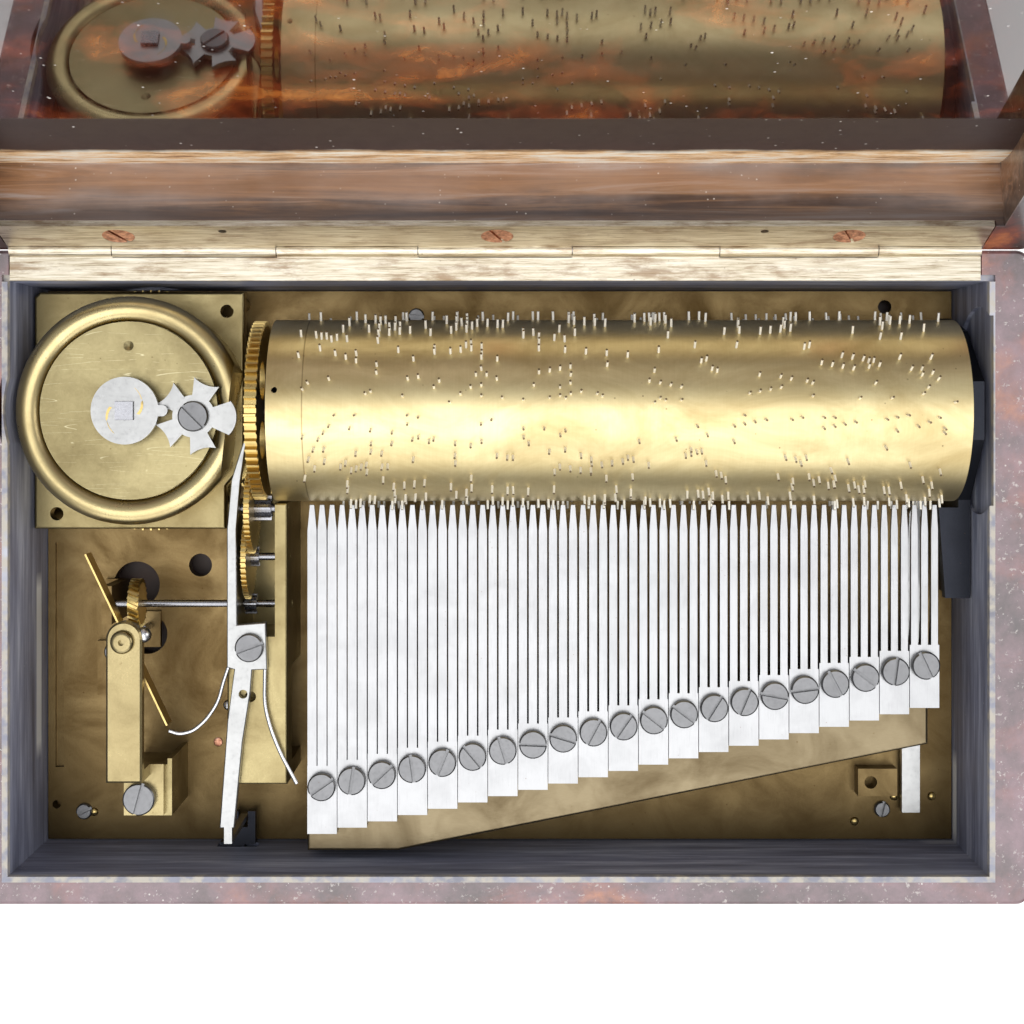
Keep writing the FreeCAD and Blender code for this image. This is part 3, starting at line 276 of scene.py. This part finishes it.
    def bump(self, height, distance, strength=1.0, normal=None):
        """Height from 0 to 1 over a distance in millimetres."""
        node = self.node("ShaderNodeBump")
        if normal:
            self.link(normal, node.inputs["Normal"])
        node.inputs["Strength"].default_value = strength
        node.inputs["Distance"].default_value = distance * MM
        self.link(height, node.inputs["Height"])
        self.link(node.outputs["Normal"], self.shader.inputs["Normal"])

    def out(self, socket, source):
        self.link(source, self.shader.inputs[socket])


# ---- finishes ---------------------------------------------------------------------------------------
FRONT_PAINTED_SHADE_MM = (-12.0, -27.0)   # painted shade: the bed darkens towards the front wall between these Y
SCRATCH_TURNS = (20, 75, 130)     # degrees


def brass(name, colour, tarnish, roughness, spots=0.5, grain=(1, 1, 1), grain_scale=6.0, depth=0.012,
          scratched=0.0, painted_shade_front=0.0):
    """Old brass: warm metal, brown clouds, fine grain, small dark spots and thin curved scratches."""
    p = Paint(name, colour, metallic=1.0, roughness=roughness)
    clouds = p.ramp(p.noise(0.16, detail=6, rough=0.62, warp=0.6), (0.36, 0.0), (0.70, 1.0))
    fine = p.noise(grain_scale, stretch=grain, detail=3)
    dark = tuple(c * t for c, t in zip(colour, (0.52, 0.44, 0.34)))
    body = p.blend(p.maths("MULTIPLY", clouds, tarnish), colour, dark)
    body = p.blend(p.between(fine, 0.0, 0.16), body, dark)
    flecks = p.ramp(p.cells(1.1), (0.05, 1.0), (0.11, 0.0))
    flecks = p.maths("MULTIPLY", flecks, p.ramp(p.noise(0.5), (0.5, 0.0), (0.62, spots)))
    body = p.blend(flecks, body, (0.10, 0.055, 0.02))
    # painted shade: the brass turns darker towards the front wall, where the wall shades the bed
    front = p.maths("MULTIPLY", p.ramped(p.axis("Y"), *FRONT_PAINTED_SHADE_MM), painted_shade_front)
    body = p.blend(front, body, tuple(0.25 * c for c in colour))
    for turn in SCRATCH_TURNS if scratched else ():
        line = p.band(p.noise(0.5, stretch=(0.14, 2.2, 1), detail=0, turn=(0, 0, turn)), 0.498, 0.502, 0.003)
        broken = p.ramp(p.noise(0.5, detail=2, turn=(0, 0, turn)), (0.50, 0.0), (0.56, scratched))
        body = p.blend(p.maths("MULTIPLY", line, broken), body, (1.0, 0.92, 0.62))
    p.out("Base Color", body)
    worn = p.maths("ADD", p.maths("MULTIPLY", clouds, 0.16), p.between(fine, -0.07, 0.09))
    p.out("Roughness", p.maths("ADD", worn, roughness))
    p.bump(fine, depth, 0.5)
    return p.material


def steel(name, colour, roughness, grain, grain_scale=5.0, rust=0.35, depth=0.01):
    """Ground steel with fine scratches and a few rust specks."""
    p = Paint(name, colour, metallic=1.0, roughness=roughness)
    fine = p.noise(grain_scale, stretch=grain, detail=4, rough=0.65)
    clouds = p.noise(0.35, detail=5, warp=0.4)
    dark = tuple(c * 0.62 for c in colour)
    body = p.blend(p.ramp(clouds, (0.42, 0.0), (0.78, 0.45)), colour, dark)
    body = p.blend(p.ramp(fine, (0.55, 0.0), (0.75, 0.3)), body, dark)
    specks = p.ramp(p.cells(1.6), (0.04, 1.0), (0.10, 0.0))
    specks = p.maths("MULTIPLY", specks, p.ramp(p.noise(0.6), (0.52, 0.0), (0.60, rust)))
    p.out("Base Color", p.blend(specks, body, (0.16, 0.09, 0.05)))
    p.out("Roughness", p.maths("ADD", p.between(fine, -0.08, 0.12), roughness))
    p.bump(fine, depth, 0.5)
    return p.material


def shell_colours(p, amber=0.55):
    """Tortoiseshell mottling: near black, red brown and amber, in soft clouds with sharper tongues."""
    big = p.noise(0.075, stretch=(0.8, 1.2, 1.0), detail=5, rough=0.5, warp=1.4)
    small = p.noise(0.4, detail=6, rough=0.7, warp=0.8)
    mottle = p.maths("ADD", p.maths("MULTIPLY", big, 0.72), p.maths("MULTIPLY", small, 0.28))
    return p.ramp(mottle, (0.30, (0.012, 0.006, 0.005)), (0.47, (0.035, 0.010, 0.006)),
                  (amber, (0.16, 0.030, 0.010)), (amber + 0.08, (0.42, 0.12, 0.025)),
                  (amber + 0.17, (0.62, 0.27, 0.07)))


def dust(p, amount, scale=1.3):
    """Sparse pale specks, as a mask."""
    specks = p.ramp(p.cells(scale), (0.05, 1.0), (0.13, 0.0))
    return p.maths("MULTIPLY", specks, p.ramp(p.noise(0.35, detail=3), (0.5, 0.0), (0.66, amount)))


def tortoiseshell():
    p = Paint("tortoiseshell", roughness=0.32, coat_weight=1.0, coat_roughness=0.12, coat_ior=1.6)
    body = shell_colours(p)
    rim = p.band(p.axis("Z"), RIM_MM - 0.45, RIM_MM + 0.3, 0.12)
    # painted sheen, partly dust: a pinkish-grey haze on the rim top stands in for light reflected off the
    # glossy rim
    rim_dust_and_sheen = p.maths("MULTIPLY", rim, p.ramp(p.noise(0.16, detail=6, rough=0.7), (0.36, 0.1), (0.66, 0.85)))
    body = p.blend(rim_dust_and_sheen, body, (0.27, 0.15, 0.18))
    # painted highlight, partly wear: pale patches along the rim top stand in for the highlight line on the
    # worn edge
    edge = p.maths("MULTIPLY", rim, p.ramp(p.noise(1.6, detail=5, rough=0.7), (0.60, 0.0), (0.68, 0.7)))
    body = p.blend(edge, body, (0.62, 0.56, 0.52))
    body = p.blend(dust(p, 0.9), body, (0.80, 0.75, 0.70))
    body = p.blend(p.maths("MULTIPLY", rim, dust(p, 0.9, 2.6)), body, (0.85, 0.78, 0.76))
    p.out("Base Color", body)
    scuffs = p.noise(3.0, stretch=(0.3, 1, 1), detail=5, rough=0.7)
    p.out("Roughness", p.between(scuffs, 0.20, 0.48))
    p.bump(p.noise(0.8, detail=4), 0.02, 0.5)
    return p.material


def lid_axes(p):
    """Millimetres along the open lid from the hinge pin, and depth behind the pin's plane, square to it."""
    y = p.maths("SUBTRACT", p.axis("Y"), PIN_Y_MM)
    z = p.maths("SUBTRACT", p.axis("Z"), PIN_Z_MM)
    along = p.maths("ADD", p.maths("MULTIPLY", y, LID_COS), p.maths("MULTIPLY", z, LID_SIN))
    depth = p.maths("SUBTRACT", p.maths("MULTIPLY", y, LID_SIN), p.maths("MULTIPLY", z, LID_COS))
    return along, depth


def horn_streaks(p):
    """Dark streaky horn, running along the hinge, with orange grain and grey bloom."""
    streaks = p.noise(0.55, stretch=(0.08, 1.6, 1.6), detail=7, rough=0.66, warp=0.5)
    horn = p.ramp(streaks, (0.30, (0.018, 0.011, 0.010)), (0.45, (0.11, 0.060, 0.038)),
                  (0.56, (0.30, 0.160, 0.080)), (0.68, (0.42, 0.35, 0.32)))
    bloom = p.ramp(p.noise(0.12, stretch=(0.5, 1, 1), detail=5), (0.40, 0.0), (0.72, 0.7))
    return p.blend(bloom, horn, (0.46, 0.38, 0.35)), streaks


def lid_material():
    """Tortoiseshell outside, and streaky dark horn on the walls inside the lid's hollow."""
    p = Paint("lid_tortoiseshell", roughness=0.3, coat_weight=0.6, coat_roughness=0.15, coat_ior=1.5)
    body = shell_colours(p)
    horn, streaks = horn_streaks(p)
    along, depth = lid_axes(p)
    worn_depth = p.maths("ADD", depth, p.between(p.noise(0.2, stretch=(0.6, 1, 1), detail=5), -1.0, 1.0))
    horn = p.blend(p.maths("MULTIPLY", p.ramped(worn_depth, 2.6, 1.4), 0.75), horn, (0.045, 0.032, 0.030))
    horn = p.blend(p.maths("MULTIPLY", p.band(worn_depth, 3.2, 5.2, 0.5), 0.45), horn, (0.40, 0.19, 0.08))
    inside = p.maths("MULTIPLY", p.band(along, HOLLOW_START, HOLLOW_END, 0.03),
                     p.ramped(depth, HOLLOW_DEPTH + 0.1, HOLLOW_DEPTH))
    inside = p.maths("MULTIPLY", inside, p.band(p.axis("X"), -HOLLOW_HALF, HOLLOW_HALF, 0.03))
    body = p.blend(inside, body, horn)
    body = p.blend(dust(p, 0.8), body, (0.80, 0.75, 0.70))
    p.out("Base Color", body)
    p.out("Roughness", p.between(p.noise(2.0, detail=4), 0.22, 0.50))
    p.bump(streaks, 0.03, 0.4)
    return p.material


def panel_material():
    """The lid's inner face: a cream line painted as the highlight on the corner bead, and a dull dark strip
    by the hinge, then a bright polish.
    """
    p = Paint("lid_panel_shell", roughness=0.05, coat_weight=1.0, coat_roughness=0.015, coat_ior=1.75,
              ior=1.6)
    along = lid_axes(p)[0]
    wave = p.maths("ADD", along, p.between(p.noise(0.25, stretch=(0.5, 0, 0), detail=5), -0.9, 0.9))
    # painted highlight: the streaky cream line by the hinge stands in for the highlight on the corner bead
    line = p.ramped(wave, HIGHLIGHT_LINE_END + 0.4, HIGHLIGHT_LINE_END - 0.4)
    strip = p.ramped(along, DULL_END + 0.2, DULL_END - 0.2)
    worn = p.ramp(p.noise(0.9, stretch=(0.2, 1.5, 1.5), detail=6, rough=0.7), (0.34, (0.30, 0.150, 0.070)),
                  (0.46, (0.85, 0.55, 0.28)), (0.58, (0.97, 0.90, 0.76)))
    body = shell_colours(p, amber=0.56)
    body = p.blend(strip, body, (0.035, 0.018, 0.016))
    body = p.blend(line, body, worn)
    body = p.blend(dust(p, 1.0, 0.9), body, (0.85, 0.8, 0.75))
    p.out("Base Color", body)
    polish = p.between(p.ramp(p.noise(0.5, detail=6), (0.45, 0.0), (0.75, 1.0)), 0.03, 0.14)
    p.out("Roughness", p.maths("ADD", polish, p.maths("MULTIPLY", strip, 0.38)))
    p.out("Coat Weight", p.maths("SUBTRACT", 1.0, strip))
    return p.material


def lining_material():
    p = Paint("dark_lining", roughness=0.3, specular_ior_level=0.25)
    streaks = p.noise(0.5, stretch=(0.12, 0.12, 1.4), detail=6, rough=0.65)
    body = p.ramp(streaks, (0.30, (0.12, 0.13, 0.19)), (0.52, (0.30, 0.32, 0.43)),
                  (0.72, (0.62, 0.64, 0.74)))
    rim = p.band(p.axis("Z"), RIM_MM - 0.8, RIM_MM + 0.3, 0.15)
    # painted highlight, partly wear: the lining's top edge is lightened as the highlight line along the rim
    worn = p.maths("MULTIPLY", rim, p.ramp(p.noise(0.9, detail=5), (0.4, 0.2), (0.6, 0.9)))
    body = p.blend(worn, body, (0.60, 0.55, 0.46))
    # painted reflections: near-white stripes low on the end walls stand in for light reflected off the glossy
    # lining: (side, lowest and highest Z, front and rear Y)
    for side, z0, z1, y0, y1 in ((-1, 7.4, 9.2, -17.8, -1.8), (1, 5.4, 6.9, -26.6, -18.9)):
        painted_reflection_stripe = p.maths("MULTIPLY", p.band(p.axis("Z"), z0, z1, 0.2), p.band(p.axis("Y"), y0, y1, 0.8))
        painted_reflection_stripe = p.maths("MULTIPLY", painted_reflection_stripe, p.ramped(p.axis("X"), side * 40.0, side * 41.0))
        body = p.blend(painted_reflection_stripe, body, (1.0, 1.0, 0.98))
    p.out("Base Color", p.blend(dust(p, 0.6), body, (0.7, 0.7, 0.7)))
    p.out("Roughness", p.between(streaks, 0.30, 0.55))
    p.bump(streaks, 0.02, 0.4)
    return p.material


def hinge_material():
    """Pale worn metal, brushed along the hinge, with brown stains."""
    p = Paint("hinge_metal", (0.80, 0.74, 0.58), metallic=1.0, roughness=0.34)
    fine = p.noise(2.2, stretch=(0.12, 2.5, 2.5), detail=5, rough=0.65)
    body = p.ramp(fine, (0.30, (0.24, 0.18, 0.11)), (0.45, (0.56, 0.49, 0.37)), (0.66, (0.76, 0.71, 0.60)))
    stains = p.ramp(p.noise(0.35, stretch=(0.5, 2, 2), detail=6, rough=0.7), (0.52, 0.0), (0.66, 0.75))
    body = p.blend(stains, body, (0.26, 0.17, 0.10))
    p.out("Base Color", p.blend(dust(p, 0.5), body, (0.12, 0.08, 0.06)))
    p.out("Roughness", p.between(fine, 0.24, 0.48))
    p.bump(fine, 0.015, 0.6)
    return p.material


def copper_material():
    p = Paint("copper_screws", (0.62, 0.30, 0.19), metallic=1.0, roughness=0.42)
    wear = p.noise(2.0, detail=5)
    p.out("Base Color", p.ramp(wear, (0.35, (0.30, 0.12, 0.07)), (0.6, (0.70, 0.36, 0.24)),
                               (0.8, (0.8, 0.6, 0.45))))
    p.bump(wear, 0.02, 0.6)
    return p.material


def plain(name, colour, metallic, roughness, spread, scale=1.5, depth=0.02):
    """A dull material with a little cloudiness, for parts that hardly show."""
    p = Paint(name, colour, metallic=metallic, roughness=roughness)
    clouds = p.noise(scale, detail=5)
    dark = tuple(c * (1 - spread) for c in colour)
    p.out("Base Color", p.ramp(clouds, (0.35, dark), (0.65, colour)))
    p.out("Roughness", p.between(clouds, roughness - 0.08, roughness + 0.12))
    p.bump(clouds, depth, 0.5)
    return p.material


def cylinder_material():
    """Turned brass: fine rings round the barrel, brown clouds, and a scribed ring near the left end."""
    colour = (0.78, 0.66, 0.37)
    p = Paint("cylinder_brass", colour, metallic=1.0, roughness=0.24)
    rings = p.noise(2.6, stretch=(3.0, 0.10, 0.10), detail=5, rough=0.7)
    clouds = p.noise(0.17, stretch=(0.55, 1, 1), detail=7, rough=0.66, warp=0.7)
    clouds = p.ramp(clouds, (0.38, 0.0), (0.68, 1.0))
    dark = (0.36, 0.24, 0.08)
    body = p.blend(p.maths("MULTIPLY", clouds, 0.55), colour, dark)
    body = p.blend(p.between(rings, 0.0, 0.22), body, dark)
    spots = p.ramp(p.cells(0.9), (0.04, 1.0), (0.09, 0.0))
    spots = p.maths("MULTIPLY", spots, p.ramp(p.noise(0.3), (0.5, 0.0), (0.62, 0.7)))
    body = p.blend(spots, body, (0.14, 0.07, 0.02))
    line = p.band(p.axis("X"), TUBE_LOW.x / MM + 3.1, TUBE_LOW.x / MM + 3.2, 0.03)
    body = p.blend(p.maths("MULTIPLY", line, 0.6), body, (0.20, 0.12, 0.04))
    p.out("Base Color", body)
    rough = p.maths("ADD", p.maths("MULTIPLY", clouds, 0.08), p.between(rings, 0.30, 0.42))
    p.out("Roughness", rough)
    barrel = p.band(p.axis("X"), TUBE_LOW.x / MM + 0.04, TUBE_HIGH.x / MM - 0.04, 0.01)
    outside = p.ramped(p.radius(), TUBE_R / MM - 0.35, TUBE_R / MM - 0.30)
    p.bump(rings, 0.010, 0.5, p.round_normal(p.maths("MULTIPLY", barrel, outside)))
    return p.material


def assign_finishes():
    along_y = (3.0, 0.10, 1.0)
    every_way = (1, 1, 1)
    finishes = {
        "tortoiseshell": (tortoiseshell(), ["case_shell"]),
        "lid": (lid_material(), ["lid_shell"]),
        "panel": (panel_material(), ["lid_panel"]),
        "lining": (lining_material(), ["case_lining"]),
        "floor_panel": (plain("bottom_panel", (0.06, 0.03, 0.02), 0.0, 0.45, 0.5, 0.3), ["case_bottom"]),
        "hinge": (hinge_material(), ["case_hinge_leaf", "lid_hinge_leaf"]),
        "copper": (copper_material(), ["lid_leaf_screws"]),
        # painted shade: the flat brass parts (bed, comb base, plate, governor cock, cover) get base colours
        # far darker than the turned brass, standing in for the shade of the camera and photographer above the
        # box
        "bed": (brass("bed_brass", (0.22, 0.155, 0.070), 0.95, 0.34, spots=0.8, painted_shade_front=0.75), [
            "bedplate", "bedplate_blocks", "footstep_plate", "long_arbor_bearing", "change_lever_stop"]),
        "comb_base": (brass("comb_base_brass", (0.21, 0.17, 0.105), 0.7, 0.30, grain=(0.3, 3, 1)), [
            "comb_base"]),
        "plate": (brass("plate_brass", (0.32, 0.265, 0.135), 0.6, 0.28), [
            "raised_plate", "raised_plate_pillars", "train_block", "cock_foot"]),
        "bright": (brass("bright_brass", (0.33, 0.27, 0.14), 0.35, 0.26), ["governor_cock", "endstone_cap"]),
        "housing": (brass("housing_brass", (0.58, 0.48, 0.25), 0.4, 0.24), ["spring_housing"]),
        "cover": (brass("cover_brass", (0.36, 0.305, 0.16), 0.4, 0.34, grain_scale=4.0, scratched=0.5), [
            "housing_cover"]),
        "wheels": (brass("wheel_brass", (0.66, 0.50, 0.20), 0.3, 0.25, spots=0.2), [
            "great_wheel", "first_wheel", "second_wheel", "worm_wheel", "drive_wheel", "fly"]),
        "cylinder": (cylinder_material(), ["cylinder_tube", "cylinder_ends"]),
        "comb": (steel("comb_steel", (0.38, 0.38, 0.385), 0.30, along_y, rust=0.6), ["comb_segments"]),
        "lever": (steel("lever_steel", (0.38, 0.38, 0.375), 0.30, every_way, grain_scale=2.5), [
            "stop_lever", "stop_star", "stop_finger", "change_lever"]),
        "screws": (steel("screw_steel", (0.20, 0.20, 0.205), 0.36, every_way, grain_scale=3.0), [
            "comb_screws", "star_screw", "stop_lever_screw", "bedplate_screws", "change_lever_screw",
            "governor_screws", "click_screw"]),
        "wire": (steel("wire_steel", (0.70, 0.70, 0.72), 0.25, every_way, rust=0.1), [
            "fly_brake_wire", "lever_return_wire", "click_spring"]),
        "arbors": (steel("arbor_steel", (0.32, 0.32, 0.34), 0.25, every_way), [
            "cylinder_arbor", "first_pinion", "second_pinion", "long_arbor", "worm_screw", "winding_arbor",
            "ratchet_wheel", "click", "mainspring", "hinge_pin"]),
        "dark_steel": (steel("dark_steel", (0.030, 0.032, 0.040), 0.4, every_way), [
            "cylinder_cock_left", "cylinder_bridge_right", "start_slide"]),
        "lead": (plain("lead", (0.20, 0.20, 0.22), 0.6, 0.6, 0.4), ["tuning_leads"]),
        "cement": (plain("cement", (0.12, 0.06, 0.03), 0.0, 0.6, 0.4), ["cylinder_cement"]),
    }
    for finish, names in finishes.values():
        for name in names:
            for slot in NODES[name].material_slots:
                slot.material = finish
    return {key: finish for key, (finish, names) in finishes.items()}


# ---- visible pieces ---------------------------------------------------------------------------------
def new_piece(name, mesh, finish, smooth=True):
    data = bpy.data.meshes.new(name)
    mesh.to_mesh(data)
    mesh.free()
    data.materials.append(finish)
    piece = bpy.data.objects.new(name, data)
    bpy.context.scene.collection.objects.link(piece)
    if smooth:
        data.shade_smooth()
        data.set_sharp_from_angle(angle=math.radians(40))
    return piece


# ---- music pins -------------------------------------------------------------------------------------
PIN_R = 0.00012
PIN_OUT = 0.00082
PIN_SIDES = 8
AIR_STEP = 0.00046
PIN_ROOT = 0.0001      # how far a pin's foot sits in the wall
PIN_TAPER = 0.86
PIN_LEAN = 0.05
PIN_LATE = 1.2         # degrees between the notes of a run
TEETH = 63
BEATS = 140
COMB_BAND = (-4.3, 1.8)           # degrees kept free of pins, at the comb's tips
QUARTERS = (-90, 0, 90, 180)      # and again at each quarter turn


def tooth_lines():
    """The X of every comb tooth: three to a segment, spaced evenly along the comb."""
    pitch = (COMB_HIGH.x - COMB_LOW.x) / TEETH
    return [COMB_LOW.x + (i + 0.5) * pitch for i in range(TEETH)]


def clear_of_comb(angle):
    low, high = COMB_BAND
    return not any(low < angle - turn < high for turn in QUARTERS)


def pin_places():
    """(x, angle in degrees) of each pin: each beat of both airs sounds a few spread notes and a short run."""
    lines = tooth_lines()
    places = []
    for air in (0, 1):
        for beat in range(BEATS):
            angle = -180 + (beat + 0.5 * air) * 360 / BEATS
            notes = random.sample(range(len(lines)), random.choice((1, 2, 3, 4)))
            step = random.choice((-1, 1, 2))
            run = [notes[0] + step * k for k in range(1, random.choice((1, 1, 2, 4)))]
            for k, tooth in enumerate(notes + [t for t in run if 0 <= t < len(lines)]):
                late = PIN_LATE * max(0, k - len(notes) + 1)
                places.append((lines[tooth] - air * AIR_STEP, (angle + late + 180) % 360 - 180))
    return [(x, angle) for x, angle in places if clear_of_comb(angle)]


def pin_material():
    """Bright filed steel with a dark tip, painted shade so that pins seen end-on look dark."""
    white = (0.97, 0.94, 0.86)
    p = Paint("pin_steel", white, metallic=0.35, roughness=0.3)
    tip = (TUBE_R + PIN_OUT) / MM
    # painted shade: the last few hundredths of a millimetre of each pin are dark brown
    p.out("Base Color", p.blend(p.ramped(p.radius(), tip - 0.05, tip - 0.04), white, (0.16, 0.11, 0.05)))
    return p.material


def add_pins():
    mesh = bmesh.new()
    for x, angle in pin_places():
        a = math.radians(angle)
        outward = Vector((0, math.cos(a), math.sin(a)))
        along = outward + Vector((random.uniform(-PIN_LEAN, PIN_LEAN), 0, 0))
        foot = Vector((x, AXIS_Y, AXIS_Z)) + outward * (TUBE_R - PIN_ROOT)
        length = PIN_ROOT + PIN_OUT + random.uniform(-0.00002, 0.00001)
        turn = along.to_track_quat("Z", "Y").to_matrix().to_4x4()
        place = Matrix.Translation(foot + along.normalized() * (length / 2)) @ turn
        bmesh.ops.create_cone(mesh, cap_ends=True, segments=PIN_SIDES, radius1=PIN_R,
                              radius2=PIN_R * PIN_TAPER, depth=length, matrix=place)
    pins = new_piece("cylinder_pins", mesh, pin_material())
    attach(pins, "cylinder")


# ---- small fittings ---------------------------------------------------------------------------------
COCK_ARM_TOP_MM = 17.1
STUD_BASE_MM = 12.3
BED_PINS_MM = ((-38.9, -24.3), (37.8, -22.8), (41.4, -22.8), (34.0, -25.2))
GROOVE_STEPS = 10
GROOVE_LIFT = 0.00002
GROOVE_T = 0.00003
GROOVE_START = -15     # degrees
GROOVE_SWEEP = 80
GROOVE_R_MM = 1.25
GROOVE_SPREAD_MM = 0.95
GROOVE_HALF_MM = 0.14


def add_button(name, x, y, z, radius, height, finish, body):
    """A low round-topped stud, in millimetres, standing on z."""
    mesh = bmesh.new()
    bmesh.ops.create_uvsphere(mesh, u_segments=24, v_segments=12, radius=1.0)
    bmesh.ops.bisect_plane(mesh, geom=mesh.verts[:] + mesh.edges[:] + mesh.faces[:], plane_co=(0, 0, 0),
                           plane_no=(0, 0, -1), clear_outer=True)
    edge = [e for e in mesh.edges if e.is_boundary]
    bmesh.ops.contextual_create(mesh, geom=edge)
    bmesh.ops.scale(mesh, vec=(radius * MM, radius * MM, height * MM), verts=mesh.verts)
    bmesh.ops.translate(mesh, vec=(x * MM, y * MM, z * MM), verts=mesh.verts)
    button = new_piece(name, mesh, finish)
    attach(button, body)


def add_grooves():
    """Two curved grooves rubbed bright beside the winding square, as thin strips on the stop finger."""
    centre = Vector(((ARBOR_LOW.x + ARBOR_HIGH.x) / 2, AXIS_Y, FINGER_TOP + GROOVE_LIFT))
    mesh = bmesh.new()
    for side in (0, 1):
        last = None
        for k in range(GROOVE_STEPS + 1):
            t = k / GROOVE_STEPS
            a = math.radians(GROOVE_START + GROOVE_SWEEP * t + 180 * side)
            r = (GROOVE_R_MM + GROOVE_SPREAD_MM * t) * MM
            a_out = Vector((math.cos(a), math.sin(a), 0))
            width = GROOVE_HALF_MM * MM * (1 - 0.5 * t)
            across = Vector((-a_out.y, a_out.x, 0)) if t > 0.5 else a_out
            pair = [mesh.verts.new(centre + a_out * r + across * d) for d in (-width, width)]
            if last:
                mesh.faces.new((last[0], last[1], pair[1], pair[0]))
            last = pair
    bmesh.ops.recalc_face_normals(mesh, faces=mesh.faces)
    bmesh.ops.solidify(mesh, geom=mesh.faces[:], thickness=GROOVE_T)
    grooves = new_piece("finger_grooves", mesh, FINISH["wheels"])
    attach(grooves, "winding_arbor")


def add_fittings():
    bed = BED_TOP / MM
    steel_wire = FINISH["wire"]
    add_button("cock_dome", -31.75, -5.85, COCK_ARM_TOP_MM, 0.72, 0.75, steel_wire, "case")
    add_button("block_stud", -24.9, -12.9, STUD_BASE_MM, 0.5, 0.45, steel_wire, "case")
    add_button("bed_plug_copper", -27.0, -17.6, bed, 0.45, 0.08, FINISH["copper"], "case")
    for number, (x, y) in enumerate(BED_PINS_MM, 1):
        add_button("bed_pin_%d" % number, x, y, bed, 0.42, 0.3, FINISH["wheels"], "case")


# ---- the scene --------------------------------------------------------------------------------------
add_camera()
add_light()
add_floor()
FINISH = assign_finishes()
add_pins()
add_grooves()
add_fittings()
